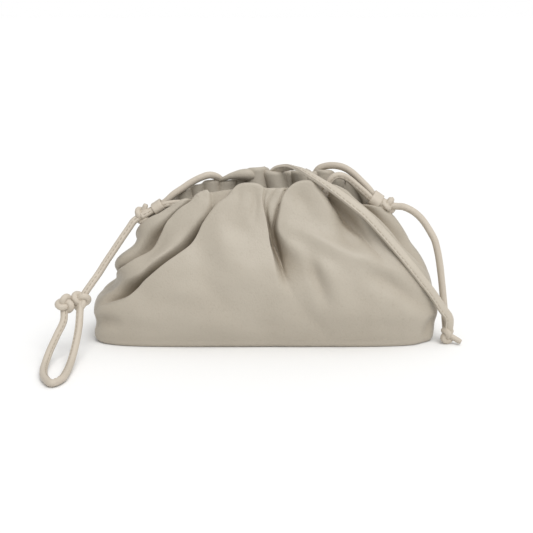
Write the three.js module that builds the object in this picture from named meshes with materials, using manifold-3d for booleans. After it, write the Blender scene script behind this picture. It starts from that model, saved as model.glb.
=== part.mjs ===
// Cloud pouch bag: a soft leather pouch with a flat foot, gathered at its mouth by two
// drawcords, with a wrist loop on the left and a thin strap drawn across the front.
// Millimetres, +Z up, +X to the right, the front looks towards -Y.
// The origin is the middle of the flat foot, on the surface that the bag stands on.

import * as THREE from 'three';
import { mergeVertices } from 'three/addons/utils/BufferGeometryUtils.js';
import Module from 'manifold-3d';

const wasm = await Module();
wasm.setup();

// Driving sizes of the pouch
const bodyLength = 233;
const bodyDepth = 78;
const mouthLength = 164; // the ring that the drawcords follow, end to end
const mouthDepth = 27;
const frontRimHeight = 104;
const backRimHeight = 110;
const wall = 1.6; // thickness of the leather
const lobeOut = 5; // a gathered lobe stands this far outside the cord ring
const valleyIn = 3.4; // a valley between lobes dips this far inside it
const rimDome = 3.2; // a lobe's top edge stands this much higher than a valley's
const lobePuff = 3; // how far the leather puffs out between two creases lower down
const footRoll = 1.6; // the foot's edge turns up this much

// Cords, strap and their fittings
const cordDiameter = 4.6;
const strapWidth = 6;
const strapThickness = 2.8;
const cordDrop = 7; // the holes for the drawcords lie this far below the rim
const knotSize = 11;
const bandLength = 7;
const bandWall = 1.3;
const gap = 0.3; // clearance between pieces that touch

// Steps of the swept cords
const frontCordSteps = 18;
const backCordSteps = 20;
const leftTailSteps = 6;
const rightTailSteps = 10;
const loopSteps = 16;
const strapSteps = 20;
const cordSides = 8;

// Share of a quarter turn of the outline that the rounded ends take
const endShare = 0.25;

// Sections of the shell, from the foot up. A level is a share of the height. The shares run
// from 0, the mouth's size, to 1, the body's full size. Squareness 2 is an oval.
const sections = [
  { level: 0.0, left: 0.93, right: 0.95, front: 0.69, back: 0.69, square: 5.0 },
  { level: 0.05, left: 0.95, right: 0.98, front: 0.79, back: 0.79, square: 5.0 },
  { level: 0.12, left: 0.94, right: 0.96, front: 0.89, back: 0.88, square: 4.6 },
  { level: 0.22, left: 1.0, right: 1.0, front: 0.985, back: 0.98, square: 4.2 },
  { level: 0.31, left: 0.93, right: 0.93, front: 1.0, back: 1.0, square: 3.8 },
  { level: 0.39, left: 0.75, right: 0.87, front: 0.985, back: 0.985, square: 3.5 },
  { level: 0.48, left: 0.6, right: 0.81, front: 0.945, back: 0.94, square: 3.2 },
  { level: 0.57, left: 0.53, right: 0.75, front: 0.86, back: 0.85, square: 3.0 },
  { level: 0.66, left: 0.42, right: 0.63, front: 0.7, back: 0.7, square: 2.8 },
  { level: 0.73, left: 0.26, right: 0.52, front: 0.54, back: 0.55, square: 2.6 },
  { level: 0.81, left: 0.17, right: 0.4, front: 0.36, back: 0.38, square: 2.5 },
  { level: 0.88, left: 0.1, right: 0.26, front: 0.19, back: 0.2, square: 2.4 },
  { level: 0.94, left: 0.03, right: 0.12, front: 0.06, back: 0.07, square: 2.3 },
  { level: 1.0, left: 0.0, right: 0.0, front: 0.0, back: 0.0, square: 2.2 },
];

// Height of the rim along the mouth. Across is a share of half the mouth's length, and the
// heights are shares of the front and back rim heights.
const rimLine = [
  { across: -1.0, front: 0.735, back: 0.705 },
  { across: -0.8, front: 0.83, back: 0.8 },
  { across: -0.62, front: 0.9, back: 0.885 },
  { across: -0.42, front: 0.955, back: 0.93 },
  { across: -0.2, front: 0.985, back: 0.97 },
  { across: 0.0, front: 0.985, back: 1.0 },
  { across: 0.2, front: 0.99, back: 0.98 },
  { across: 0.42, front: 1.0, back: 0.985 },
  { across: 0.62, front: 0.965, back: 0.97 },
  { across: 0.8, front: 0.89, back: 0.885 },
  { across: 1.0, front: 0.785, back: 0.745 },
];

// Levels at which the creases are placed
const creaseLevels = { rim: 1, brow: 0.85, shoulder: 0.7, waist: 0.55, hip: 0.43, hem: 0.36, foot: 0 };

// Creases between the gathered lobes, in order round the mouth. A place is in quarter turns:
// 0 the left end, 1 the front middle, 2 the right end, 3 the back middle.
// Lap is 1 where the lobe after the crease laps over it, -1 where the lobe before it does.
// Fade is the level where the crease dies out, deep its strength at the shoulder, columns the
// number of steps to the next crease and puff how full that next lobe is.
const creases = [
  { rim: 0.07, brow: 0.0, shoulder: -0.08, waist: -0.13, hip: -0.18, hem: -0.22, foot: -0.25,
    lap: 1, fade: 0.3, deep: 1.0, columns: 5, puff: 1.2 },
  { rim: 0.41, brow: 0.25, shoulder: 0.14, waist: 0.03, hip: -0.03, hem: -0.08, foot: -0.12,
    lap: 1, fade: 0.36, deep: 1.1, columns: 6, puff: 1.0 },
  { rim: 0.736, brow: 0.69, shoulder: 0.593, waist: 0.51, hip: 0.42, hem: 0.13, foot: 0.06,
    lap: 1, fade: 0.3, deep: 1.3, columns: 13, puff: 1.1 },
  { rim: 0.99, brow: 1.01, shoulder: 1.037, waist: 1.07, hip: 1.096, hem: 1.122, foot: 1.18,
    lap: -1, fade: 0.3, deep: 1.5, columns: 12, puff: 0.9 },
  { rim: 1.413, brow: 1.482, shoulder: 1.548, waist: 1.6, hip: 1.625, hem: 1.64, foot: 1.66,
    lap: 1, fade: 0.5, deep: 1.0, columns: 7, puff: 0.8 },
  { rim: 1.8, brow: 1.83, shoulder: 1.86, waist: 1.88, hip: 1.9, hem: 1.9, foot: 1.9,
    lap: -1, fade: 0.45, deep: 0.8, columns: 5, puff: 0.7 },
  { rim: 2.1, brow: 2.12, shoulder: 2.13, waist: 2.14, hip: 2.15, hem: 2.15, foot: 2.15,
    lap: 1, fade: 0.45, deep: 0.8, columns: 4, puff: 0.7 },
  { rim: 2.36, brow: 2.34, shoulder: 2.32, waist: 2.31, hip: 2.31, hem: 2.31, foot: 2.31,
    lap: -1, fade: 0.5, deep: 0.9, columns: 5, puff: 0.8 },
  { rim: 2.62, brow: 2.6, shoulder: 2.57, waist: 2.55, hip: 2.53, hem: 2.52, foot: 2.5,
    lap: 1, fade: 0.42, deep: 1.1, columns: 5, puff: 0.9 },
  { rim: 2.83, brow: 2.82, shoulder: 2.81, waist: 2.8, hip: 2.8, hem: 2.8, foot: 2.8,
    lap: -1, fade: 0.5, deep: 0.9, columns: 5, puff: 0.8 },
  { rim: 3.04, brow: 3.05, shoulder: 3.06, waist: 3.07, hip: 3.08, hem: 3.09, foot: 3.1,
    lap: 1, fade: 0.38, deep: 1.2, columns: 5, puff: 1.0 },
  { rim: 3.25, brow: 3.28, shoulder: 3.31, waist: 3.34, hip: 3.36, hem: 3.37, foot: 3.38,
    lap: -1, fade: 0.5, deep: 0.9, columns: 5, puff: 0.8 },
  { rim: 3.5, brow: 3.52, shoulder: 3.55, waist: 3.57, hip: 3.58, hem: 3.58, foot: 3.58,
    lap: 1, fade: 0.42, deep: 1.0, columns: 5, puff: 0.9 },
  { rim: 3.77, brow: 3.74, shoulder: 3.72, waist: 3.71, hip: 3.7, hem: 3.7, foot: 3.7,
    lap: -1, fade: 0.5, deep: 0.8, columns: 5, puff: 0.7 },
];

// Soft dents. Across and up are shares of half the body's length and of the front rim's
// height, long and wide are shares of the rim height, deep is a share of the puff.
const dents = [
  { across: 0.42, up: 0.42, lean: 0.35, long: 0.34, wide: 0.07, deep: 1.0, face: -1 },
  { across: -0.4, up: 0.36, lean: 0.7, long: 0.2, wide: 0.09, deep: 0.5, face: -1 },
  { across: 0.84, up: 0.42, lean: 1.1, long: 0.32, wide: 0.08, deep: 0.9, face: -1 },
  { across: 0.3, up: 0.84, lean: 0.1, long: 0.12, wide: 0.1, deep: 0.7, face: -1 },
  { across: -0.3, up: 0.5, lean: -0.5, long: 0.3, wide: 0.1, deep: 0.8, face: 1 },
  { across: 0.45, up: 0.45, lean: 0.5, long: 0.3, wide: 0.1, deep: 0.8, face: 1 },
];

// Small tucks in the rim beside the middle crease, each running down towards it
const tucks = [
  { rim: 1.05, lower: 1.02, wide: 0.022, deep: 0.9, reach: 0.84 },
  { rim: 1.125, lower: 1.04, wide: 0.03, deep: 1.1, reach: 0.75 },
];
const tuckLower = 0.78; // level of the tucks' lower places
const tuckFadeSpan = 0.12;

// Levels of the rows of the mesh. The inner wall is plainer and skips some of them.
const rowLevels = [0.04, 0.11, 0.2, 0.28, 0.35, 0.42, 0.49, 0.57, 0.65, 0.73, 0.8, 0.86, 0.91, 0.955, 1];
const innerLevels = [0.04, 0.2, 0.35, 0.49, 0.65, 0.8, 0.91, 0.955, 1];

// Levels over which the creases and the lobes' fullness come and go
const creaseFadeSpan = 0.2;
const puffFootSpan = 0.25;
const puffTop = 0.9;
const puffTopSpan = 0.2;
const middleRise = 0.65; // the rise at which a lobe lies on the plain shell

function smooth(x) {
  const s = Math.min(1, Math.max(0, x));
  return s * s * (3 - 2 * s);
}

// A smooth curve through the rows of a table, read at one place
function along(rows, place, key, value) {
  let i = 0;
  while (i < rows.length - 2 && value > rows[i + 1][place]) i += 1;
  const slope = (a, b) => (b[key] - a[key]) / (b[place] - a[place]);
  const a = rows[i];
  const b = rows[i + 1];
  const width = b[place] - a[place];
  const chord = slope(a, b);
  const before = i > 0 ? (slope(rows[i - 1], a) + chord) / 2 : chord;
  const after = i < rows.length - 2 ? (slope(b, rows[i + 2]) + chord) / 2 : chord;
  const s = Math.min(1, Math.max(0, (value - a[place]) / width));
  const s2 = s * s;
  const s3 = s2 * s;
  return (
    a[key] * (2 * s3 - 3 * s2 + 1) +
    b[key] * (3 * s2 - 2 * s3) +
    before * width * (s3 - 2 * s2 + s) +
    after * width * (s3 - s2)
  );
}

// The same for one crease, whose places are named after their levels
function creasePlace(crease, level) {
  const rows = Object.entries(creaseLevels)
    .map(([name, height]) => ({ height, place: crease[name] }))
    .reverse();
  return along(rows, 'height', 'place', level);
}

// Point of the unit square's outline at a place in quarter turns
function squarePoint(place) {
  const turn = ((place % 4) + 4) % 4;
  const quarter = Math.floor(turn);
  const part = turn - quarter;
  const fromEnd = quarter % 2 === 0 ? part : 1 - part;
  const x = fromEnd < endShare ? 1 : 1 - (fromEnd - endShare) / (1 - endShare);
  const y = fromEnd < endShare ? fromEnd / endShare : 1;
  return {
    x: quarter === 0 || quarter === 3 ? -x : x,
    y: quarter < 2 ? -y : y,
  };
}

// The plain shell without its folds
function shellPoint(place, level, height) {
  const q = squarePoint(place);
  const n = along(sections, 'level', 'square', level);
  const round = Math.pow(Math.pow(Math.abs(q.x), n) + Math.pow(Math.abs(q.y), n), -1 / n);
  const side = (key, mouth, body) => mouth + (body - mouth) * along(sections, 'level', key, level);
  const a = side(q.x < 0 ? 'left' : 'right', mouthLength / 2, bodyLength / 2);
  const b = side(q.y < 0 ? 'front' : 'back', mouthDepth / 2, bodyDepth / 2);
  return new THREE.Vector3(q.x * round * a, q.y * round * b, height * level);
}

// Rim height over a place: the front and back lines, blended round the ends
function rimHeight(place) {
  const q = squarePoint(place);
  const n = sections[sections.length - 1].square;
  const round = Math.pow(Math.pow(Math.abs(q.x), n) + Math.pow(Math.abs(q.y), n), -1 / n);
  const across = q.x * round;
  const back = smooth((q.y + 1) / 2);
  return (
    (1 - back) * frontRimHeight * along(rimLine, 'across', 'front', across) +
    back * backRimHeight * along(rimLine, 'across', 'back', across)
  );
}

// Outward direction of the plain shell
function shellNormal(place, level, height) {
  const e = 0.01;
  const round = shellPoint(place + e, level, height).sub(shellPoint(place - e, level, height));
  const low = Math.max(0, level - e);
  const high = Math.min(1, level + e);
  const up = shellPoint(place, high, height).sub(shellPoint(place, low, height));
  return round.cross(up).normalize();
}

// How high the leather stands across a lobe, 0 in a crease and 1 on the lobe. The lapping
// side of a crease rises steeply and the lapped side slowly, over these shares of the lobe.
const steepShare = 0.16;
const slowShare = 0.5;

function lobeRise(part, startLap, endLap) {
  const left = part / (startLap > 0 ? steepShare : slowShare);
  const right = (1 - part) / (endLap < 0 ? steepShare : slowShare);
  return Math.sin((Math.PI / 2) * Math.min(1, left, right));
}

// How far a level is into the gather under the rim: 0 on the body and 1 at the drawcords
const gatherStart = 0.7;
const gatherFull = 0.95;

function gathered(level) {
  return smooth((level - gatherStart) / (gatherFull - gatherStart));
}

// How deep a crease is at a level, from the gather at the rim to nothing where it fades
function creaseDepth(crease, level) {
  const fading = smooth((level - crease.fade) / creaseFadeSpan);
  const body = lobePuff * crease.deep * fading * (1 - gathered(level));
  return (lobeOut + valleyIn) * gathered(level) + body;
}

// How full a lobe is at a level: flat at the foot, full on the body and given over to the
// gather towards the rim
function lobeFullness(crease, level) {
  const upper = smooth((puffTop - level) / puffTopSpan);
  return lobePuff * crease.puff * (1 - gathered(level)) * smooth(level / puffFootSpan) * upper;
}

function dentDepth(point) {
  let depth = 0;
  for (const dent of dents) {
    if (Math.sign(point.y) !== dent.face) continue;
    const dx = point.x - (dent.across * bodyLength) / 2;
    const dz = point.z - dent.up * frontRimHeight;
    const sin = Math.sin(dent.lean);
    const cos = Math.cos(dent.lean);
    const lengthwise = (dz * cos - dx * sin) / (dent.long * frontRimHeight);
    const sideways = (dx * cos + dz * sin) / (dent.wide * frontRimHeight);
    depth += dent.deep * lobePuff * Math.exp(-2 * (lengthwise * lengthwise + sideways * sideways));
  }
  return depth;
}

function tuckDepth(place, level) {
  let depth = 0;
  for (const tuck of tucks) {
    const centre = tuck.rim + ((tuck.lower - tuck.rim) * (1 - level)) / (1 - tuckLower);
    const away = (place - centre) / tuck.wide;
    depth += tuck.deep * lobeOut * Math.exp(-away * away) * smooth((level - tuck.reach) / tuckFadeSpan);
  }
  return depth;
}

// One column of the folded shell, from the foot's edge to the rim
function shellColumn(index, part) {
  const start = creases[index];
  const end = creases[(index + 1) % creases.length];
  const wrap = index === creases.length - 1 ? 4 : 0;
  const placeAt = (level) =>
    creasePlace(start, level) * (1 - part) + (creasePlace(end, level) + wrap) * part;
  const rise = lobeRise(part, start.lap, end.lap);
  const height = rimHeight(placeAt(1)) + rimDome * (rise - middleRise);
  return rowLevels.map((level) => {
    const place = placeAt(level);
    const point = shellPoint(place, level, height);
    const depth = creaseDepth(start, level) * (1 - part) + creaseDepth(end, level) * part;
    const stand = lobeOut * gathered(level) + lobeFullness(start, level) * (rise - middleRise);
    const out = stand - depth * (1 - rise) - dentDepth(point) - tuckDepth(place, level);
    return point.addScaledVector(shellNormal(place, level, height), out);
  });
}

// All columns of the folded shell
function foldedColumns() {
  const grid = [];
  creases.forEach((crease, index) => {
    for (let i = 0; i < crease.columns; i += 1) grid.push(shellColumn(index, i / crease.columns));
  });
  return grid;
}

// Middle of the shell in plan, which is brought over the origin
function gridMiddle(grid) {
  return new THREE.Box3().setFromPoints(grid.flat()).getCenter(new THREE.Vector3()).setZ(0);
}

// Outward normals of a grid that closes on itself sideways
function gridNormals(grid) {
  const count = grid.length;
  return grid.map((column, i) =>
    column.map((_, j) => {
      const side = grid[(i + 1) % count][j].clone().sub(grid[(i + count - 1) % count][j]);
      const up = column[Math.min(j + 1, column.length - 1)].clone().sub(column[Math.max(j - 1, 0)]);
      return side.cross(up).normalize();
    }),
  );
}

// A closed solid from rings of points: the first and last ring are filled to a middle point
function closedRings(rings) {
  const count = rings[0].length;
  const positions = rings.flat().flatMap((p) => [p.x, p.y, p.z]);
  const index = [];
  for (let r = 0; r < rings.length - 1; r += 1) {
    for (let i = 0; i < count; i += 1) {
      const next = (i + 1) % count;
      const a = r * count + i;
      const b = r * count + next;
      const c = (r + 1) * count + next;
      const d = (r + 1) * count + i;
      index.push(a, b, c, a, c, d);
    }
  }
  const fill = (ring, offset, turned) => {
    const middle = ring.reduce((sum, p) => sum.add(p), new THREE.Vector3()).divideScalar(count);
    const centre = positions.length / 3;
    positions.push(middle.x, middle.y, middle.z);
    for (let i = 0; i < count; i += 1) {
      const next = (i + 1) % count;
      if (turned) index.push(centre, offset + next, offset + i);
      else index.push(centre, offset + i, offset + next);
    }
  };
  fill(rings[0], 0, true);
  fill(rings[rings.length - 1], (rings.length - 1) * count, false);
  const geometry = new THREE.BufferGeometry();
  geometry.setAttribute('position', new THREE.Float32BufferAttribute(positions, 3));
  geometry.setIndex(index);
  return geometry;
}

// The pouch: outer wall, rim, inner wall and a flat foot
function pouchGeometry() {
  const grid = foldedColumns();
  grid.flat().forEach((p) => p.sub(shellMiddle));
  const normals = gridNormals(grid);
  const rows = rowLevels.length;
  const ring = (pick) => grid.map((_, i) => pick(i));
  const footEdge = 2.4 * footRoll; // the flat foot starts this far inside the first row
  const footInset = (p, inset, z) => {
    const flat = new THREE.Vector3(p.x, p.y, 0);
    return flat.clone().multiplyScalar(1 - inset / flat.length()).setZ(z);
  };
  const rings = [];
  rings.push(ring((i) => footInset(grid[i][0], footEdge, 0)));
  rings.push(ring((i) => footInset(grid[i][0], footRoll, footRoll / 3)));
  for (let j = 0; j < rows; j += 1) rings.push(ring((i) => grid[i][j].clone()));
  for (let j = rows - 1; j >= 0; j -= 1) {
    if (innerLevels.includes(rowLevels[j])) {
      rings.push(ring((i) => grid[i][j].clone().addScaledVector(normals[i][j], -wall)));
    }
  }
  rings.push(ring((i) => footInset(grid[i][0], footEdge, wall)));
  return closedRings(rings);
}

// Solids for joining and cutting
function solidOf(geometry) {
  const bare = geometry.clone();
  bare.deleteAttribute('normal');
  bare.deleteAttribute('uv');
  const merged = mergeVertices(bare, 1e-4);
  return new wasm.Manifold(
    new wasm.Mesh({
      numProp: 3,
      vertProperties: new Float32Array(merged.attributes.position.array),
      triVerts: new Uint32Array(merged.index.array),
    }),
  );
}

function geometryOf(solid) {
  const mesh = solid.getMesh();
  const geometry = new THREE.BufferGeometry();
  geometry.setAttribute('position', new THREE.BufferAttribute(Float32Array.from(mesh.vertProperties), 3));
  geometry.setIndex(new THREE.BufferAttribute(Uint32Array.from(mesh.triVerts), 1));
  return geometry;
}

function largest(solid) {
  return solid.decompose().reduce((best, piece) => (piece.volume() > best.volume() ? piece : best));
}

const cutAway = (solid, cutters) => largest(cutters.reduce((rest, cutter) => rest.subtract(cutter), solid));

// A round or flat section, drawn as a closed outline
function ovalShape(width, height, sides, turn = 0) {
  const points = [];
  for (let i = 0; i < sides; i += 1) {
    const angle = (2 * Math.PI * (i + 0.5)) / sides;
    points.push(new THREE.Vector2((Math.cos(angle) * width) / 2, (Math.sin(angle) * height) / 2));
  }
  points.forEach((p) => p.rotateAround(new THREE.Vector2(), turn));
  return new THREE.Shape(points);
}

function curveThrough(points) {
  return new THREE.CatmullRomCurve3(points, false, 'centripetal');
}

function sweep(curve, shape, steps) {
  return solidOf(new THREE.ExtrudeGeometry(shape, { steps, extrudePath: curve }));
}

function cordSolid(curve, steps, extra = 0) {
  const width = cordDiameter + 2 * extra;
  return sweep(curve, ovalShape(width, width, cordSides), steps);
}

// The flat strap, turned so that it lies flat on the front of the pouch, which faces this way
// at this share of the strap's length
const strapFrontShare = 0.6;
const frontOutward = [0.35, -0.85, 0.4];

function strapSolid(curve, steps, extra = 0) {
  const frames = curve.computeFrenetFrames(steps, false);
  const onFront = Math.round(steps * strapFrontShare);
  const outward = new THREE.Vector3(...frontOutward);
  const turn = Math.atan2(-outward.dot(frames.normals[onFront]), outward.dot(frames.binormals[onFront]));
  const width = strapWidth + 2 * extra;
  const height = strapThickness + 2 * extra;
  const corner = 0.3 * height;
  const outline = [
    [width / 2 - corner, -height / 2],
    [width / 2, -height / 2 + corner],
    [width / 2, height / 2 - corner],
    [width / 2 - corner, height / 2],
    [-width / 2 + corner, height / 2],
    [-width / 2, height / 2 - corner],
    [-width / 2, -height / 2 + corner],
    [-width / 2 + corner, -height / 2],
  ].map(([x, y]) => new THREE.Vector2(x, y).rotateAround(new THREE.Vector2(), turn));
  return sweep(curve, new THREE.Shape(outline), steps);
}

// A tight round knot: three turns of cord that cross each other
function knotSolid(place, size, turn, extra = 0) {
  const tube = 0.22 * size;
  const tilts = [[1.1, 0.1, 0], [2.0, -0.2, 0.5], [0.2, 1.5, 0.3]];
  const turns = tilts.map((tilt) => {
    const ring = new THREE.TorusGeometry(size / 2 - tube, tube + extra, 6, 7);
    ring.applyMatrix4(new THREE.Matrix4().makeRotationFromEuler(new THREE.Euler(...tilt)));
    return solidOf(ring);
  });
  const knot = largest(turns.reduce((sum, ring) => sum.add(ring)));
  const placed = new THREE.Matrix4().makeRotationFromEuler(new THREE.Euler(...turn)).setPosition(...place);
  return knot.transform(placed.toArray());
}

// A leather band round two cords: a flat-sided ring whose long side spans both cords
function bandSolid(place, along, across, extra = 0) {
  const inner = cordDiameter / 2 + gap;
  const outer = inner + bandWall + extra;
  const spread = (cordDiameter + gap) / 2;
  const stadium = (radius) => {
    const path = new THREE.Path();
    path.absarc(spread, 0, radius, -Math.PI / 2, Math.PI / 2, false);
    path.absarc(-spread, 0, radius, Math.PI / 2, (3 * Math.PI) / 2, false);
    return path.getPoints(3);
  };
  const shape = new THREE.Shape(stadium(outer));
  if (extra === 0) shape.holes.push(new THREE.Path(stadium(inner)));
  const length = bandLength + 2 * extra;
  const ring = new THREE.ExtrudeGeometry(shape, { depth: length, bevelEnabled: false, curveSegments: 4 });
  ring.translate(0, 0, -length / 2);
  const z = new THREE.Vector3(...along).normalize();
  const y = z.clone().cross(new THREE.Vector3(...across)).normalize();
  const x = y.clone().cross(z);
  ring.applyMatrix4(new THREE.Matrix4().makeBasis(x, y, z).setPosition(...place));
  return solidOf(ring);
}

// The ring that a drawcord follows, between two places round the mouth
function mouthRun(from, to, count) {
  const points = [];
  for (let i = 0; i <= count; i += 1) {
    const place = from + ((to - from) * i) / count;
    const height = rimHeight(place);
    const point = shellPoint(place, 1 - cordDrop / height, height);
    points.push(point.sub(shellMiddle));
  }
  return points;
}

const spots = (rows) => rows.map((row) => new THREE.Vector3(...row));

// Routes of the cords, chosen by hand
const frontCordLeft = spots([
  [-81, -8.6, 82.6], [-75.5, -7.6, 85.2], [-70, -6.4, 88.2], [-64, -7, 90.2],
  [-55, -8.6, 91.3],
]);
const frontCordRight = spots([
  [40.6, -7.6, 102.8], [42.6, -7, 106.6], [46, -6.5, 108.9], [50.5, -6, 108.8],
  [55.4, -5.5, 106.1], [60.1, -5, 102.1], [64.8, -4.5, 98], [69.5, -4, 93.6], [74, -4, 90.3],
  [81, -4.6, 88],
]);
const backCordLeft = spots([
  [-81, -3.6, 83], [-75.5, -2.2, 85.2], [-70.2, -1.4, 88], [-65.3, -0.6, 91], [-60.7, 0, 95.2],
  [-54, 1, 99.7], [-48.1, 2, 103.5], [-42.2, 2.5, 106.4], [-36.6, 3.4, 107.9], [-32, 6, 106.4],
]);
const backCordRight = spots([
  [33.6, 10.9, 107.4], [36, 10, 111.2], [40, 9.2, 112.9], [45.1, 8, 113.6], [51.6, 6.5, 112.6],
  [57.5, 5, 109.3], [62.8, 3.5, 104.6], [68, 2, 99.5], [73, 1, 93.6], [81, 0.4, 89.4],
]);
const leftTailRoute = spots([
  [-80.1, -6, 83], [-85.7, -9, 79.6], [-88.9, -11, 75.3], [-93.2, -14, 69.3],
  [-98.2, -17.5, 62.1], [-103, -22, 55.2], [-107.1, -26, 48.9], [-111, -31, 43.6],
  [-114.5, -34.5, 38.8], [-117.9, -38, 33.6],
]);
const loopRoute = spots([
  [-127.6, -42, 32.8], [-127, -47, 23.8], [-130.2, -54, 16.1], [-133.4, -62, 8.6],
  [-134.6, -71, 3.6], [-133.4, -82, 2.7], [-129.8, -94, 2.7], [-124, -102, 2.7],
  [-120, -96, 2.7], [-118.9, -84, 3], [-118.7, -69, 5.4], [-117.8, -58, 12.2],
  [-117.2, -49, 20.4], [-117.4, -42.5, 28], [-117.6, -38, 33.6],
]);
const rightTailRoute = spots([
  [81.1, -2, 88.6], [86.8, -3, 88.2], [90.7, -4, 88.1], [95.2, -5, 86.4], [99.1, -6, 84],
  [103.1, -7, 80.2], [106.4, -8, 75.7], [109, -9, 71.5], [111.4, -10, 67], [113.6, -11, 59.2],
  [115.4, -11.6, 49.9], [117, -12, 39.1], [118.3, -12.6, 29.1], [119.2, -14, 20.7],
  [119.6, -16.4, 13.6], [120, -19.5, 7],
]);
const strapRoute = spots([
  [0.3, 24, 94.4], [1, 17.5, 95.4], [1.8, 12, 97.6], [2.6, 8.4, 102.2], [4.4, 6.8, 107.4],
  [7.6, 4.8, 110.8], [11.9, 2, 112.8], [17, -1.5, 113.9], [22.7, -7, 113.2],
  [29, -12.5, 110.5], [35.2, -16.5, 107.3], [44.2, -19.2, 101.8], [54.4, -21.2, 94.4],
  [64.7, -22.3, 86.2], [73.8, -23.6, 76.7], [83.4, -26.4, 66.2], [93.2, -28.2, 54.7],
  [101.4, -27.4, 44.4], [108.6, -26, 35.2], [115.8, -24.6, 24.5], [120.6, -23.8, 17.4],
  [120.6, -23, 7],
]);

// Places of the knots and bands
const leftKnot = { place: [-80.1, -6, 83], turn: [1.4, 0.2, 0.3] };
const rightKnot = { place: [81.1, -2, 88.6], turn: [1.5, -0.3, 0.8] };
const loopKnot = { place: [-117.6, -38, 33.9], turn: [1.3, 0.3, 0.1] };
const buttonKnot = { place: [-127.9, -42, 32.8], turn: [1.1, -0.6, 0.6] };
const endKnot = { place: [120.1, -22.5, 5.7], turn: [1.5, 0.4, 1.1] };
const strapKnot = { place: [0.3, 25, 94.2], turn: [1.4, 0.1, 0.5] };
const leftBand = { place: [-70.1, -3.9, 88.1], along: [-0.78, -0.06, -0.5], across: [0, 1, 0] };
const rightBand = { place: [73.1, -1.4, 92.3], along: [0.72, -0.1, -0.5], across: [-0.12, 0.85, 0.6] };


const knotAt = (knot, extra) => knotSolid(knot.place, knotSize, knot.turn, extra);
const bandAt = (band, extra) => bandSolid(band.place, band.along, band.across, extra);

// The pouch is cut where the drawcords and the strap pass through it
const shellMiddle = gridMiddle(foldedColumns());
const frontCord = curveThrough([...frontCordLeft, ...mouthRun(0.6, 1.37, 8), ...frontCordRight]);
const backCord = curveThrough([...backCordLeft, ...mouthRun(3.22, 2.68, 7), ...backCordRight]);
const strap = curveThrough(strapRoute);
const leftTail = curveThrough(leftTailRoute);
const rightTail = curveThrough(rightTailRoute);
const loop = curveThrough(loopRoute);
const cordRoom = [cordSolid(frontCord, frontCordSteps, gap), cordSolid(backCord, backCordSteps, gap)];
const throughBody = [
  ...cordRoom,
  strapSolid(strap, strapSteps, gap),
  cordSolid(leftTail, leftTailSteps, gap),
  cordSolid(rightTail, rightTailSteps, gap),
  bandAt(leftBand, gap),
  bandAt(rightBand, gap),
  knotAt(leftKnot, gap),
  knotAt(rightKnot, gap),
  knotAt(strapKnot, gap),
];

const leatherColour = 0xbfb5a6;
const cordColour = 0xb3a898;
const bag = new THREE.Group();

function addPiece(name, solid, color) {
  const material = new THREE.MeshStandardMaterial({ color, roughness: 0.55, metalness: 0 });
  const mesh = new THREE.Mesh(geometryOf(solid), material);
  mesh.name = name;
  bag.add(mesh);
}

const knotCuts = (...knots) => knots.map((knot) => knotAt(knot, gap));

// A cord ends face to face with the knots that it runs into
function addCord(name, curve, steps, ...knots) {
  addPiece(name, cutAway(cordSolid(curve, steps), knotCuts(...knots)), cordColour);
}

addPiece('bag_body', cutAway(solidOf(pouchGeometry()), throughBody), leatherColour);
addCord('drawcord_front', frontCord, frontCordSteps, leftKnot, rightKnot);
addCord('drawcord_back', backCord, backCordSteps, leftKnot, rightKnot);
addPiece('slider_band_left', cutAway(bandAt(leftBand), cordRoom), cordColour);
addPiece('slider_band_right', cutAway(bandAt(rightBand), cordRoom), cordColour);
addPiece('knot_left', knotAt(leftKnot), cordColour);
addPiece('knot_right', knotAt(rightKnot), cordColour);
addCord('tail_left', leftTail, leftTailSteps, leftKnot, loopKnot);
addPiece('loop_knot', knotAt(loopKnot), cordColour);
addPiece('button_knot', knotAt(buttonKnot), cordColour);
addCord('wrist_loop', loop, loopSteps, loopKnot, buttonKnot);
addCord('tail_right', rightTail, rightTailSteps, rightKnot, endKnot);
addPiece('end_knot', knotAt(endKnot), cordColour);
addPiece('front_strap', cutAway(strapSolid(strap, strapSteps), knotCuts(endKnot, strapKnot)), leatherColour);
addPiece('strap_knot', knotAt(strapKnot), cordColour);

export default bag;
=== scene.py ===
import math

import bmesh
import bpy
import numpy as np
from mathutils import Euler, Matrix, Vector, noise
from mathutils.kdtree import KDTree


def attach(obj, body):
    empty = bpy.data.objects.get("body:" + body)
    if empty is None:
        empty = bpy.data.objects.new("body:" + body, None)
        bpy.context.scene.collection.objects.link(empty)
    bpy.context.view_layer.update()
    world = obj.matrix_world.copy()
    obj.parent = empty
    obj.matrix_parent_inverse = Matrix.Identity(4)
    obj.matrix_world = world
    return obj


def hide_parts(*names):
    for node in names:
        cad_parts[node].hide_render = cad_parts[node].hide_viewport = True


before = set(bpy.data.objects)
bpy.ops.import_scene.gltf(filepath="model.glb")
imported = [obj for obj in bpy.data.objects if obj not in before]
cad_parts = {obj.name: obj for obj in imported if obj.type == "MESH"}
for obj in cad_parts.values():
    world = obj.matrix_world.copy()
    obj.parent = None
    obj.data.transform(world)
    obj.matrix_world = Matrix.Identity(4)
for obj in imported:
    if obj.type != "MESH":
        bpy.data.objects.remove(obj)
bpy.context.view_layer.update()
bpy.ops.object.select_all(action="DESELECT")
mm = 0.001
scene = bpy.context.scene


# Camera: the photo's square frame is 533 pixels across
cameraView = {"place": (0.001, -0.640, 0.212), "downTilt": 14.5, "focalPixels": 984, "framePixels": 533}


def addCamera():
    data = bpy.data.cameras.new("camera")
    data.sensor_width = 36
    data.lens = data.sensor_width * cameraView["focalPixels"] / cameraView["framePixels"]
    data.clip_start = 0.01
    cam = bpy.data.objects.new("camera", data)
    cam.location = cameraView["place"]
    cam.rotation_euler = (math.radians(90 - cameraView["downTilt"]), 0, 0)
    scene.collection.objects.link(cam)
    scene.camera = cam


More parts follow.
